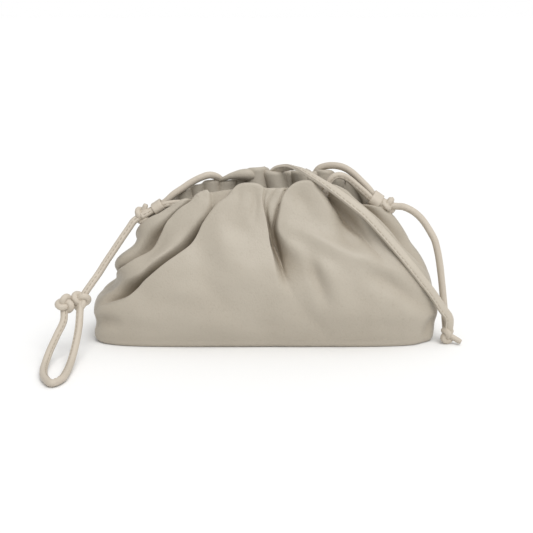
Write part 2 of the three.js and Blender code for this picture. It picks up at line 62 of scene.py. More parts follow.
addCamera()
print("camera ready")


# Lines and frames along them
def unit(v):
    return v / np.maximum(np.linalg.norm(v, axis=-1, keepdims=True), 1e-9)


def lineThrough(points, spacing=1.0):  # smooth line through the points, in even steps
    p = np.reshape(points, (-1, 3)).astype(float)
    p = np.vstack([2 * p[0] - p[1], p, 2 * p[-1] - p[-2]])
    parts = []
    t = np.linspace(0, 1, 24, endpoint=False)[:, None]
    for i in range(1, len(p) - 2):
        a, b, c, d = p[i - 1:i + 3]
        ta, tb, tc = (max(1e-4, np.linalg.norm(v) ** 0.5) for v in (b - a, c - b, d - c))
        startSlope = ((b - a) / ta - (c - a) / (ta + tb) + (c - b) / tb) * tb
        endSlope = ((c - b) / tb - (d - b) / (tb + tc) + (d - c) / tc) * tb
        parts.append((2 * t**3 - 3 * t**2 + 1) * b + (t**3 - 2 * t**2 + t) * startSlope
                     + (3 * t**2 - 2 * t**3) * c + (t**3 - t**2) * endSlope)
    parts.append(p[-2][None])
    fine = np.vstack(parts)
    run = np.concatenate([[0], np.cumsum(np.linalg.norm(np.diff(fine, axis=0), axis=1))])
    at = np.linspace(0, run[-1], max(4, round(run[-1] / spacing) + 1))
    return np.stack([np.interp(at, run, fine[:, k]) for k in range(3)], 1)


def lineLength(line):
    return float(np.linalg.norm(np.diff(line, axis=0), axis=1).sum())


def carryFrame(line, first):  # tangent, normal and side along a line, with no needless twist
    tangent = unit(np.gradient(line, axis=0))
    normal = np.zeros_like(line)
    v = np.array(first, float)
    for i, t in enumerate(tangent):
        v = v - t * v.dot(t)
        v = v / max(np.linalg.norm(v), 1e-9)
        normal[i] = v
    return tangent, normal, np.cross(tangent, normal)


# Meshes from rings of points
def meshObject(name, points, faces, material):
    mesh = bpy.data.meshes.new(name)
    mesh.from_pydata([tuple(p) for p in np.asarray(points) * mm], [], faces)
    mesh.validate()
    bm = bmesh.new()
    bm.from_mesh(mesh)
    bmesh.ops.recalc_face_normals(bm, faces=bm.faces)
    bm.to_mesh(mesh)
    bm.free()
    mesh.shade_smooth()
    obj = bpy.data.objects.new(name, mesh)
    scene.collection.objects.link(obj)
    mesh.materials.append(material)
    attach(obj, "root")
    return obj


def ringFaces(rings, count, closed=False, start=0):  # quads between rings of points
    faces = []
    for r in range(rings if closed else rings - 1):
        near, far = start + r * count, start + (r + 1) % rings * count
        for i in range(count):
            j = (i + 1) % count
            faces.append((near + i, near + j, far + j, far + i))
    return faces


def endFaces(rings, count, start=0):  # the two faces that close a run of rings
    last = start + (rings - 1) * count
    return [tuple(range(start, start + count)), tuple(range(last, last + count))]


def sweptRings(line, normal, side, outline):  # outline(k) gives the section's points at ring k
    return [line[k] + o[:, :1] * side[k] + o[:, 1:] * normal[k]
            for k, o in ((k, outline(k)) for k in range(len(line)))]


def sweepMesh(name, line, normal, side, outline, material):
    rings = sweptRings(line, normal, side, outline)
    count = len(rings[0])
    faces = ringFaces(len(rings), count) + endFaces(len(rings), count)
    return meshObject(name, np.vstack(rings), faces, material)


# Materials
def addNode(tree, kind, values=None, **settings):
    node = tree.nodes.new(kind)
    for key, value in settings.items():
        setattr(node, key, value)
    for key, value in (values or {}).items():
        node.inputs[key].default_value = value
    return node


def feed(tree, socket, value):  # links another node's output, or sets a plain value
    if hasattr(value, "links"):
        tree.links.new(value, socket)
    elif value is not None:
        socket.default_value = value


def mathNode(tree, operation, a, b=None, clamp=False):
    node = addNode(tree, "ShaderNodeMath", operation=operation, use_clamp=clamp)
    feed(tree, node.inputs[0], a)
    feed(tree, node.inputs[1], b)
    return node.outputs[0]


def mixColour(tree, factor, a, b):
    node = addNode(tree, "ShaderNodeMix", data_type="RGBA")
    for i, value in ((0, factor), (6, a), (7, b)):
        feed(tree, node.inputs[i], value)
    return node.outputs[2]


grainLook = {  # scales are per metre
    "pebbleScale": 1000.0, "pebbleSoftness": 0.35, "pebbleRound": 1.6, "warpScale": 420.0, "warpReach": 0.0006,
    "fineScale": 2600.0, "fineHeight": 0.35, "cloudScale": 22.0, "poreSharpness": 3.0, "poreShade": 0.15,
    "patchDull": 0.3, "pebbleDull": 0.12,
}


def makeGrainGroup():  # fine leather grain: small flat pebbles, pores and soft cloudy patches, with the painted crease shade mixed into the colour
    look = grainLook
    group = bpy.data.node_groups.new("leatherGrain", "ShaderNodeTree")
    sockets = {"INPUT": {"Colour": "Color", "Dark patch and shade colour": "Color", "Pebble size": "Float", "Cloudiness": "Float",
                         "Painted shade": "Float", "Dull": "Float"},
               "OUTPUT": {"Colour": "Color", "Roughness": "Float", "Height": "Float"}}
    for side, labels in sockets.items():
        for label, kind in labels.items():
            group.interface.new_socket(label, in_out=side, socket_type="NodeSocket" + kind)
    given, result = group.nodes.new("NodeGroupInput").outputs, group.nodes.new("NodeGroupOutput").inputs
    calc = lambda *values, **settings: mathNode(group, *values, **settings)
    place = addNode(group, "ShaderNodeTexCoord").outputs["Object"]
    warp = addNode(group, "ShaderNodeTexNoise", {"Scale": look["warpScale"], "Detail": 2.0})
    shift = addNode(group, "ShaderNodeVectorMath", {1: (look["warpReach"],) * 3}, operation="MULTIPLY_ADD")
    pebble = addNode(group, "ShaderNodeTexVoronoi", feature="SMOOTH_F1")
    pebble.inputs["Smoothness"].default_value = look["pebbleSoftness"]
    fine = addNode(group, "ShaderNodeTexNoise", {"Scale": look["fineScale"], "Detail": 2.0, "Roughness": 0.6})
    cloud = addNode(group, "ShaderNodeTexNoise", {"Scale": look["cloudScale"], "Detail": 4.0, "Roughness": 0.55})
    for socket in (warp.inputs["Vector"], shift.inputs[2], fine.inputs["Vector"], cloud.inputs["Vector"]):
        feed(group, socket, place)
    feed(group, shift.inputs[0], warp.outputs["Color"])
    feed(group, pebble.inputs["Vector"], shift.outputs[0])
    feed(group, pebble.inputs["Scale"], calc("DIVIDE", look["pebbleScale"], given["Pebble size"]))
    far = pebble.outputs["Distance"]
    patch = calc("MULTIPLY", calc("SUBTRACT", cloud.outputs["Fac"], 0.5), given["Cloudiness"])
    pores = calc("MULTIPLY", calc("POWER", far, look["poreSharpness"]), look["poreShade"])
    # painted shade: the crease shade input darkens the colour towards the deep colour, on top of the patches and
    # pores
    deep = calc("ADD", calc("ADD", patch, pores), given["Painted shade"], clamp=True)
    dull = calc("ADD", given["Dull"], calc("MULTIPLY", patch, look["patchDull"]))
    feed(group, result["Colour"], mixColour(group, deep, given["Colour"], given["Dark patch and shade colour"]))
    feed(group, result["Roughness"], calc("ADD", dull, calc("MULTIPLY", far, look["pebbleDull"]), clamp=True))
    feed(group, result["Height"], calc("SUBTRACT", calc("MULTIPLY", fine.outputs["Fac"], look["fineHeight"]),
                                       calc("POWER", far, look["pebbleRound"])))
    return group


grainGroup = makeGrainGroup()


def makeLeather(name, look):
    material = bpy.data.materials.new(name)
    material.use_nodes = True
    tree = material.node_tree
    shader = tree.nodes["Principled BSDF"]
    grain = addNode(tree, "ShaderNodeGroup", {
        "Colour": (*look["colour"], 1), "Dark patch and shade colour": (*look["deep"], 1), "Pebble size": look["pebble"],
        "Cloudiness": look["cloud"], "Dull": look["dull"]}, node_tree=grainGroup)
    # painted shade: a per-point attribute darkens the leather in creases, folds and dents
    if look.get("paintedShade"):
        paintedShade = addNode(tree, "ShaderNodeAttribute", attribute_name="paintedShade").outputs["Fac"]
        feed(tree, grain.inputs["Painted shade"], mathNode(tree, "MULTIPLY", paintedShade, look["paintedShade"]))
    bump = addNode(tree, "ShaderNodeBump", {"Strength": look["relief"], "Distance": look["reliefDepth"] * mm})
    feed(tree, bump.inputs["Height"], grain.outputs["Height"])
    for label, value in (("Normal", bump.outputs["Normal"]), ("Base Color", grain.outputs["Colour"]),
                         ("Roughness", grain.outputs["Roughness"]), ("Specular IOR Level", look["gloss"]),
                         ("Sheen Weight", look["sheen"]), ("Sheen Roughness", 0.4)):
        feed(tree, shader.inputs[label], value)
    return material


# deep is the darker colour for pores, cloudy patches and the painted crease shade; the crease-shade weight, where
# given, sets how strong that painted shade is
leatherLooks = {
    "pouchLeather": {"colour": (0.44, 0.395, 0.325), "deep": (0.25, 0.2, 0.14), "pebble": 1.15, "cloud": 0.35,
        "dull": 0.46, "relief": 0.35, "reliefDepth": 0.25, "gloss": 0.42, "sheen": 0.06, "paintedShade": 0.8},
    "cordLeather": {"colour": (0.53, 0.47, 0.39), "deep": (0.25, 0.21, 0.165), "pebble": 0.8, "cloud": 0.5,
        "dull": 0.5, "relief": 0.35, "reliefDepth": 0.2, "gloss": 0.4, "sheen": 0.04, "paintedShade": 0.9},
    "strapLeather": {"colour": (0.51, 0.458, 0.38), "deep": (0.27, 0.23, 0.18), "pebble": 0.9, "cloud": 0.4,
        "dull": 0.5, "relief": 0.35, "reliefDepth": 0.2, "gloss": 0.4, "sheen": 0.05, "paintedShade": 0.9},
    "threadYarn": {"colour": (0.42, 0.365, 0.29), "deep": (0.24, 0.2, 0.15), "pebble": 0.35, "cloud": 0.4,
        "dull": 0.7, "relief": 0.5, "reliefDepth": 0.1, "gloss": 0.25, "sheen": 0.1},
}
pouchLeather, cordLeather, strapLeather, threadYarn = (makeLeather(*entry) for entry in leatherLooks.items())
print("materials ready")


# Plain shell of the pouch, as in the CAD source
pouch = {
    "bodyLength": 233, "bodyDepth": 78, "mouthLength": 164, "mouthDepth": 27,
    "frontRim": 104, "backRim": 110, "lobeOut": 5, "valleyIn": 3.4, "rimDome": 3.2, "backDome": 5.0,
    "lobePuff": 3, "cordDrop": 7, "endShare": 0.25,
}
sections = np.array([  # level, left, right, front, back, squareness
    (0.0, 0.88, 0.9, 0.69, 0.69, 5.0), (0.05, 0.91, 0.92, 0.79, 0.79, 5.0),
    (0.12, 0.88, 0.93, 0.89, 0.88, 4.6), (0.22, 0.9, 0.96, 0.985, 0.98, 4.2),
    (0.31, 0.76, 0.93, 1.0, 1.0, 3.8), (0.39, 0.5, 0.87, 0.985, 0.985, 3.5),
    (0.48, 0.46, 0.81, 0.945, 0.94, 3.2), (0.53, 0.48, 0.78, 0.91, 0.9, 3.0),
    (0.57, 0.45, 0.75, 0.86, 0.85, 2.9), (0.62, 0.32, 0.68, 0.78, 0.78, 2.8),
    (0.66, 0.17, 0.62, 0.7, 0.7, 2.6), (0.73, 0.05, 0.5, 0.54, 0.55, 2.6),
    (0.81, 0.05, 0.36, 0.36, 0.38, 2.5), (0.88, 0.01, 0.19, 0.19, 0.2, 2.4),
    (0.94, -0.07, 0.02, 0.06, 0.07, 2.3), (1.0, -0.12, -0.13, 0.0, 0.0, 2.2)])
rimLine = np.array([  # across, front, back
    (-1.0, 0.735, 0.705), (-0.8, 0.83, 0.8), (-0.62, 0.9, 0.885), (-0.42, 0.955, 0.93),
    (-0.2, 0.985, 0.97), (0.0, 0.985, 1.0), (0.2, 0.99, 0.98), (0.42, 1.0, 0.985),
    (0.62, 0.965, 0.97), (0.8, 0.89, 0.885), (1.0, 0.785, 0.745)])


def smoothStep(x):
    s = np.clip(x, 0, 1)
    return s * s * (3 - 2 * s)


def readTable(places, values, at):  # smooth curve through a table
    at = np.clip(at, places[0], places[-1])
    i = np.clip(np.searchsorted(places, at, side="left") - 1, 0, len(places) - 2)
    slope = np.diff(values) / np.diff(places)
    chord = slope[i]
    before = np.where(i > 0, (slope[np.maximum(i - 1, 0)] + chord) / 2, chord)
    last = len(slope) - 1
    after = np.where(i < last, (slope[np.minimum(i + 1, last)] + chord) / 2, chord)
    width = places[i + 1] - places[i]
    s = (at - places[i]) / width
    return (values[i] * (2 * s**3 - 3 * s**2 + 1) + values[i + 1] * (3 * s**2 - 2 * s**3)
            + before * width * (s**3 - 2 * s**2 + s) + after * width * (s**3 - s**2))


def squarePoint(place):  # place runs from 0 to 4 round the bag: left end, front, right end, back
    turn = np.mod(place, 4)
    quarter = np.floor(turn)
    part = turn - quarter
    fromEnd = np.where(quarter % 2 == 0, part, 1 - part)
    end = pouch["endShare"]
    x = np.where(fromEnd < end, 1, 1 - (fromEnd - end) / (1 - end))
    y = np.where(fromEnd < end, fromEnd / end, 1)
    return np.where((quarter == 0) | (quarter == 3), -x, x), np.where(quarter < 2, -y, y)


def rounded(x, y, n):  # brings a point of the square onto a rounded one
    return (np.abs(x) ** n + np.abs(y) ** n) ** (-1 / n)


def halfSize(mouth, body, share):
    return pouch[mouth] / 2 + (pouch[body] - pouch[mouth]) / 2 * share


def shellPoint(place, level, height):
    x, y = squarePoint(place)
    left, right, front, back, n = (readTable(sections[:, 0], sections[:, k], level) for k in range(1, 6))
    roundness = rounded(x, y, n)
    length = halfSize("mouthLength", "bodyLength", np.where(x < 0, left, right))
    depth = halfSize("mouthDepth", "bodyDepth", np.where(y < 0, front, back))
    return np.stack(np.broadcast_arrays(x * roundness * length, y * roundness * depth, height * level), -1)


def rimHeight(place):
    x, y = squarePoint(place)
    across = x * rounded(x, y, sections[-1, 5])
    back = smoothStep((y + 1) / 2)
    front = pouch["frontRim"] * readTable(rimLine[:, 0], rimLine[:, 1], across)
    rear = pouch["backRim"] * readTable(rimLine[:, 0], rimLine[:, 2], across)
    return (1 - back) * front + back * rear


def mouthRun(start, end, count):  # the ring that a drawcord follows
    place = np.linspace(start, end, count + 1)
    height = rimHeight(place)
    return (shellPoint(place, 1 - pouch["cordDrop"] / height, height) - shellMiddle).ravel().tolist()


# Creases, from the left end round the front and the back, with a lobe after each.
# at: place at each of its levels, or of creaseLevels
# fade, span: the level where it starts, and how many levels it takes to be whole
# deep, rim: depth in the body and at the rim
# before, after: share of the lobe on that side that slopes down to it, at the rim and low down
# soften: the level where the low share starts to give way to the rim's
# over: how far the lobe after it laps over it; if less than 0, the lobe before it does
# columns, puff, dome, top: the lobe's mesh columns, fullness, crown and extra height
# topOnly, topSpan: the lobe stands out only from this level; below, it is the crease's floor
# omega, in, tilt: the lobe is a round gather, with its depth inwards and its lean inside the mouth
creaseLevels = np.array([0, 0.36, 0.43, 0.55, 0.7, 0.85, 1.0])
leftFold = (  # levels and places that creases 2 and 3 share
    (0, 0.3, 0.36, 0.393, 0.425, 0.468, 0.503, 0.557, 0.603, 0.672, 0.73, 0.78, 0.83, 0.873),
    (0.13, 0.16, 0.186, 0.202, 0.23, 0.28, 0.33, 0.415, 0.467, 0.52, 0.558, 0.594, 0.634, 0.672))
backGathers = [  # at, columns, top, in, tilt
    ((2.34, 2.34, 2.34, 2.34, 2.35, 2.36, 2.37), 14, 0, 8, 0.2),
    ((2.46, 2.46, 2.46, 2.46, 2.46, 2.47, 2.479), 16, 1.0, 9, 0.35),
    ((2.57, 2.57, 2.57, 2.58, 2.59, 2.605, 2.62), 14, -1, 8.5, 0.1),
    ((2.67, 2.67, 2.67, 2.68, 2.68, 2.69, 2.69), 16, -0.5, 7, -0.2),
    ((2.79, 2.79, 2.79, 2.79, 2.79, 2.8, 2.812), 10, -1.5, 6, 0.1),
    ((2.87, 2.87, 2.87, 2.87, 2.87, 2.868, 2.866), 20, -1.5, 10.5, -0.3),
    ((2.99, 2.99, 2.99, 2.985, 2.98, 2.985, 2.995), 18, 0.5, 8.5, -0.05),
    ((3.11, 3.11, 3.11, 3.105, 3.1, 3.1, 3.1), 12, -3.5, 4, 0.3),
    ((3.2, 3.2, 3.2, 3.19, 3.18, 3.18, 3.175), 16, -4.5, 6, 0.25),
    ((3.32, 3.32, 3.32, 3.315, 3.31, 3.31, 3.305), 16, -1, 6, -0.1),
    ((3.44, 3.44, 3.44, 3.44, 3.435, 3.43, 3.43), 14, -1.5, 5.2, -0.25),
    ((3.49, 3.5, 3.51, 3.54, 3.56, 3.57, 3.565), 16, 0, 5.2, -0.35),
]
creases = [
    dict(at=(-0.2, -0.18, -0.16, -0.12, -0.07, 0.0, 0.07), fade=0.4, deep=0.9, columns=30, puff=1.2,
         rim=0.6, before=(0.3, 0.5)),
    dict(levels=(0, 0.3, 0.43, 0.5, 0.56, 0.63, 0.7, 0.76, 0.81, 0.86, 0.9, 0.94, 0.985, 1),
         at=(-0.1, -0.07, 0.0, 0.09, 0.14, 0.16, 0.17, 0.19, 0.225, 0.285, 0.355, 0.42, 0.48, 0.49), fade=0.36,
         deep=1.9, columns=44, before=(0.25, 0.25), after=(0.12, 0.12), over=2.4),
    dict(levels=leftFold[0] + (0.935, 1), at=leftFold[1] + (0.672, 0.655), fade=0.2, deep=2.9,
         columns=10, rim=0.25, before=(0.14, 0.36), topOnly=2),
    dict(levels=leftFold[0] + (0.905, 0.973, 1), at=tuple(p + 0.01 for p in leftFold[1]) + (0.715, 0.772, 0.785),
         fade=0.2, deep=2.9, columns=74, rim=0.25, after=(0.12, 0.1), over=3.4),
    dict(levels=(0, 0.2, 0.33, 0.438, 0.57, 0.68, 0.76, 0.845, 0.888, 0.948, 1),
         at=(1.2, 1.18, 1.138, 1.1, 1.07, 1.046, 1.03, 1.014, 1.006, 1.0, 1.012), fade=0.24, span=0.42,
         deep=2.6, columns=10, before=(0.07, 0.07), after=(0.4, 0.4), over=-4.6, rim=0.15,
         topOnly=0.86, topSpan=0.08, top=-1, dome=0.8),
    dict(levels=(0, 0.2, 0.33, 0.438, 0.57, 0.68, 0.76, 0.845, 0.91, 0.948, 0.988, 1),
         at=(1.204, 1.184, 1.142, 1.104, 1.074, 1.05, 1.034, 1.018, 1.014, 1.032, 1.056, 1.064), fade=0.24,
         span=0.42, deep=2.6, columns=18, before=(0.4, 0.4), after=(0.35, 0.35), over=0.5,
         rim=0.12, topOnly=0.74, top=-1, dome=0.8),
    dict(levels=(0, 0.2, 0.33, 0.438, 0.57, 0.68, 0.775, 0.82, 0.87, 0.93, 0.98, 1),
         at=(1.208, 1.188, 1.148, 1.112, 1.084, 1.06, 1.047, 1.056, 1.072, 1.096, 1.118, 1.138), fade=0.24,
         span=0.42, deep=2.6, columns=66, rim=0.4, before=(0.35, 0.35), after=(0.07, 0.42),
         soften=0.46, over=1.8),
    dict(levels=(0, 0.45, 0.6, 0.728, 0.78, 0.84, 0.9, 0.965, 1),
         at=(1.66, 1.63, 1.61, 1.57, 1.528, 1.49, 1.444, 1.416, 1.4), fade=0.45, span=0.35, deep=1.2,
         columns=36, puff=0.8, before=(0.35, 0.5), after=(0.35, 0.5)),
    dict(at=(1.9, 1.9, 1.9, 1.88, 1.86, 1.83, 1.8), fade=0.45, deep=0.8, columns=20, puff=0.7,
         before=(0.16, 0.16), after=(0.4, 0.5), over=-1.0),
    dict(at=(2.15, 2.15, 2.15, 2.14, 2.13, 2.12, 2.1), fade=0.45, deep=0.8, columns=16, puff=0.7,
         before=(0.4, 0.5), over=1.0),
] + [
    {"at": at, "columns": columns, "omega": True, "top": top, "in": inwards, "tilt": tilt}
    for at, columns, top, inwards, tilt in backGathers
] + [
    dict(at=(3.54, 3.56, 3.58, 3.63, 3.68, 3.73, 3.77), fade=0.5, deep=0.8, columns=18, puff=0.7,
         after=(0.4, 0.5), over=1.2),
]
# omegaShade sets the strength of the painted shade inside the back gathers
folding = {
    "omegaOut": 4.2, "omegaWide": 0.15, "omegaFade": (0.6, 0.3), "omegaShade": 0.3,
    "gatherStart": 0.7, "gatherFull": 0.95, "fadeSpan": 0.2, "footSpan": 0.25, "puffTop": 0.9, "puffTopSpan": 0.2,
    "middleRise": 0.65, "crownShare": 0.4, "flank": (0.3, 0.3), "soften": 0.55, "softenSpan": 0.3, "topSpan": 0.14,
    "rimDrop": 2, "fullDepth": 8, "lipShare": 0.5, "leanLost": 0.75, "leanTop": (0.9, 0.1),
}
rows = {"count": 76, "spread": 0.95, "first": 0.04}  # the foot's rolled edge starts at the first level


def gathered(level):
    return smoothStep((level - folding["gatherStart"]) / (folding["gatherFull"] - folding["gatherStart"]))


def creaseStrength(crease, level):
    if crease.get("omega"):
        return 1 + 0 * level
    return smoothStep((level - crease["fade"]) / crease.get("span", folding["fadeSpan"]))


def creaseDepth(crease, level):
    body = pouch["lobePuff"] * crease["deep"] * creaseStrength(crease, level) * (1 - gathered(level))
    return (pouch["lobeOut"] + pouch["valleyIn"]) * crease.get("rim", 1) * gathered(level) + body


def lobeFullness(crease, level):
    upper = smoothStep((folding["puffTop"] - level) / folding["puffTopSpan"])
    lower = smoothStep(level / folding["footSpan"])
    puff = 0 if crease.get("omega") else crease.get("puff", 1)
    return pouch["lobePuff"] * puff * (1 - gathered(level)) * lower * upper


def flankShare(part, crease, side, levels):  # 0 at the crease, 1 where the slope down to it starts
    atRim, low = crease.get(side, folding["flank"])
    rising = smoothStep((levels - crease.get("soften", folding["soften"])) / folding["softenSpan"])
    return part / (low + (atRim - low) * rising)


def flankDip(share, crease, levels):
    return (1 - np.sin(math.pi / 2 * np.minimum(1, share))) * creaseStrength(crease, levels)


def lipLean(crease, levels, share, part):  # the lapping lip leans over its neighbour
    strength = np.clip(creaseDepth(crease, levels) / folding["fullDepth"], 0, 1)
    return crease["over"] * strength * np.minimum(1, share) ** 2 * (1 - smoothStep(part / folding["lipShare"]))


def surfaceFrame(place, levels, height):  # directions around and out of the shell
    step = 0.01
    around = shellPoint(place + step, levels, height) - shellPoint(place - step, levels, height)
    up = (shellPoint(place, np.minimum(1, levels + step), height)
          - shellPoint(place, np.maximum(0, levels - step), height))
    return unit(around), unit(np.cross(around, up))


def omegaShift(start, width, part, rise, levels):  # a round gather of the back rim
    fadeStart, fadeSpan = folding["omegaFade"]
    strength = smoothStep((levels - fadeStart) / fadeSpan)
    out = strength * (folding["omegaOut"] - (folding["omegaOut"] + start["in"]) * rise)
    lean = strength * width * folding["omegaWide"] * np.sin(4 * math.pi * part)
    # painted shade partway up each back gather
    paintedShade = strength * np.clip(1 - 2 * np.abs(rise - 0.5), 0, 1) * folding["omegaShade"]
    return out, lean, paintedShade


def lobeShift(index, left, right, part, rise, levels):  # a soft lobe between two creases
    previous, start, end = creases[index - 1], creases[index], creases[(index + 1) % len(creases)]
    startDepth = 0 * levels if previous.get("omega") else creaseDepth(start, levels)
    endDepth = 0 * levels if end.get("omega") else creaseDepth(end, levels)
    depth = startDepth * (1 - part) + endDepth * part
    atStart, atEnd = (1 - smoothStep(2 * part)) / 2, (1 - smoothStep(2 - 2 * part)) / 2
    fullness = (lobeFullness(start, levels) * (1 - atStart - atEnd) + lobeFullness(previous, levels) * atStart
                + lobeFullness(end, levels) * atEnd)
    stand = pouch["lobeOut"] * gathered(levels) + fullness * (rise - folding["middleRise"])
    lean = 0 * part * levels
    if start.get("over", 0) > 0:
        lean = lean - lipLean(start, levels, left, part)
    if end.get("over", 0) < 0:
        lean = lean - lipLean(end, levels, right, 1 - part)
    leanStart, leanSpan = folding["leanTop"]
    lean = lean * (1 - folding["leanLost"] * smoothStep((levels - leanStart) / leanSpan))
    # painted shade down in each crease, stronger where the crease is deeper
    paintedShade = np.clip(depth * (1 - rise) / folding["fullDepth"], 0, 1)
    return stand - depth * (1 - rise), lean, paintedShade


def lobeColumns(index, levels):
    start, end = creases[index], creases[(index + 1) % len(creases)]
    wrap = 4 if index == len(creases) - 1 else 0
    u = np.arange(start["columns"]) / start["columns"]
    part = (u - 0.5 * np.sin(2 * math.pi * u) / (2 * math.pi))[:, None]  # closer together by the creases
    startAt, endAt = (readTable(np.array(c.get("levels", creaseLevels)), np.array(c["at"]), levels)
                      for c in (start, end))
    endAt = endAt + wrap
    place = startAt * (1 - part) + endAt * part
    left, right = flankShare(part, start, "after", levels), flankShare(1 - part, end, "before", levels)
    if start.get("omega"):
        rise = 0.5 - 0.5 * np.cos(2 * math.pi * part) + 0 * levels
        dome = pouch["backDome"] * rise
    else:
        rise = (1 - flankDip(left, start, levels)) * (1 - flankDip(right, end, levels))
        if "topOnly" in start:
            gate = smoothStep((levels - start["topOnly"]) / start.get("topSpan", folding["topSpan"]))
            rise = 1 - (1 - rise * gate) * creaseStrength(start, levels)
        crown = np.sin(math.pi / 2 * np.minimum(1, np.minimum(part, 1 - part) / folding["crownShare"]))
        dome = start.get("dome", pouch["rimDome"]) * crown * np.minimum(1, 2 * rise)
    height = rimHeight(place[:, -1:]) + dome[:, -1:] - folding["rimDrop"] + start.get("top", 0) * rise[:, -1:]
    around, outward = surfaceFrame(place, levels, height)
    if start.get("omega"):
        width = np.linalg.norm(shellPoint(endAt, levels, height) - shellPoint(startAt, levels, height), axis=-1)
        out, lean, paintedShade = omegaShift(start, width, part, rise, levels)
    else:
        out, lean, paintedShade = lobeShift(index, left, right, part, rise, levels)
    return shellPoint(place, levels, height) + outward * out[..., None] + around * lean[..., None], paintedShade


def smoothRing(values, turns):
    for _ in range(turns):
        values = (np.roll(values, 1, 0) + 2 * values + np.roll(values, -1, 0)) / 4
    return values


def gridNormals(grid, turns=0):
    around = np.roll(grid, -1, 0) - np.roll(grid, 1, 0)
    up = np.gradient(grid, axis=1)
    return unit(smoothRing(unit(np.cross(around, up)), turns))


lobeTilt = np.concatenate([np.full(c["columns"], c.get("tilt", 0.0)) for c in creases])
rowLevels = rows["first"] + (1 - rows["first"]) * np.linspace(0, 1, rows["count"]) ** rows["spread"]
pouchGrid, pouchPaintedShade = (np.concatenate(parts)
                          for parts in zip(*(lobeColumns(i, rowLevels) for i in range(len(creases)))))
corners = pouchGrid.min((0, 1)), pouchGrid.max((0, 1))
shellMiddle = (corners[0] + corners[1]) / 2 * np.array([1, 1, 0])
pouchGrid = pouchGrid - shellMiddle


# Soft dents and ridges, drawn in the camera's frame (533 across) on the side that faces it, with painted shade in
# the dents
surfaceMarks = [  # width in pixels, depth in millimetres inwards, the line's points
    (6, 3.4, (309, 256, 316, 276, 326, 300)), (8, -1.2, (326, 262, 334, 282, 343, 300)),
    (8, 1.6, (200, 274, 214, 294, 231, 311)), (3.5, 1.5, (254, 188, 256, 203, 253, 220)),
    (4, 0.8, (240, 187, 238, 200, 236, 214)), (8, 1.8, (296, 189, 302, 200, 312, 214)),
    (5, -1.0, (316, 186, 322, 196, 330, 208)), (11, 3.6, (341, 208, 346, 228, 352, 250)),
    (7, -2.6, (290, 226, 318, 239, 353, 255, 401, 275)), (8, 1.5, (300, 238, 320, 256, 345, 268)),
    (8, 3.0, (372, 272, 401, 290, 435, 312)), (10, -1.2, (360, 285, 395, 306, 428, 322)),
    (4, 3.6, (439, 317, 431, 324, 425, 340)), (7, 6.0, (94, 287, 104, 284, 116, 279)),
    (9, 1.6, (296, 301, 310, 318, 324, 332)), (12, 1.2, (140, 300, 190, 306, 240, 318)),
    (5, 3.4, (90, 319, 100, 321, 118, 324)), (12, 1.3, (196, 238, 206, 260, 216, 282)),
    (12, -1.6, (172, 286, 186, 294, 204, 298)), (13, -1.5, (234, 256, 244, 270, 252, 288)),
    (11, 1.2, (222, 214, 238, 228, 254, 240)), (15, -1.6, (322, 298, 344, 310, 368, 318)),
    (12, 0.9, (248, 300, 262, 318, 270, 334)), (6, 1.6, (170, 232, 158, 244, 140, 258)),
    (6, 1.8, (365, 215, 376, 238, 392, 262)), (14, -1.4, (216, 215, 226, 240, 222, 270)),
    (2.6, 2.0, (270, 226, 275, 245, 280, 262, 285, 278)), (5, -0.8, (191, 192, 198, 198, 205, 204)),
    (3.5, -1.2, (280, 190, 281, 197, 278, 205)),
]
# shade and shadeDepth: painted shade added to the pressed dents, up to that depth
marking = {"facing": (0.3, 0.6), "ends": 0.35, "shadeDepth": 3, "shade": 0.05}
unevenness = {"slow": 1.2, "slowScale": 0.028, "roughness": 0.7, "layers": 3, "slowFade": 0.2,
              "fine": 0.18, "fineScale": (0.3, 0.3, 0.05), "fineShift": (0, 0, 7), "fineFade": (0.6, 0.35)}


def toPixels(points):  # places in the camera's frame, from millimetres
    tilt = math.radians(cameraView["downTilt"])
    offset = points - np.array(cameraView["place"]) / mm
    ahead = offset[..., 1] * math.cos(tilt) - offset[..., 2] * math.sin(tilt)
    up = offset[..., 1] * math.sin(tilt) + offset[..., 2] * math.cos(tilt)
    middle = cameraView["framePixels"] / 2
    scale = cameraView["focalPixels"] / ahead
    return np.stack([middle + offset[..., 0] * scale, middle - up * scale], -1)


def lineDistance(pixels, line):  # distance to a drawn line and the share along it
    best = np.full(pixels.shape[:-1], 1e9)
    share = np.zeros(pixels.shape[:-1])
    line = np.reshape(line, (-1, 2))
    for i in range(len(line) - 1):
        a, b = line[i], line[i + 1]
        t = np.clip(((pixels - a) @ (b - a)) / (b - a).dot(b - a), 0, 1)
        gap = np.linalg.norm(pixels - (a + t[..., None] * (b - a)), axis=-1)
        share = np.where(gap < best, (i + t) / (len(line) - 1), share)
        best = np.minimum(best, gap)
    return best, share


def pressMarks(grid, paintedShade):
    pixels = toPixels(grid)
    normals = gridNormals(grid, 12)
    toCamera = unit(np.array(cameraView["place"]) / mm - grid)
    start, span = marking["facing"]
    push = np.zeros(grid.shape[:2])
    for wide, depth, line in surfaceMarks:
        gap, share = lineDistance(pixels, line)
        ends = marking["ends"] + (1 - marking["ends"]) * np.sin(math.pi * np.clip(share, 0, 1))
        push += depth * np.exp(-(gap / wide) ** 2) * ends
    push *= smoothStep(((normals * toCamera).sum(-1) + start) / span)
    # painted shade in the pressed dents
    shade = np.clip(push, 0, marking["shadeDepth"]) * marking["shade"]
    return grid - normals * push[..., None], np.clip(paintedShade + shade, 0, 1)


def noiseOver(grid, read):
    return np.array([read(p) for p in grid.reshape(-1, 3)]).reshape(grid.shape[:2])


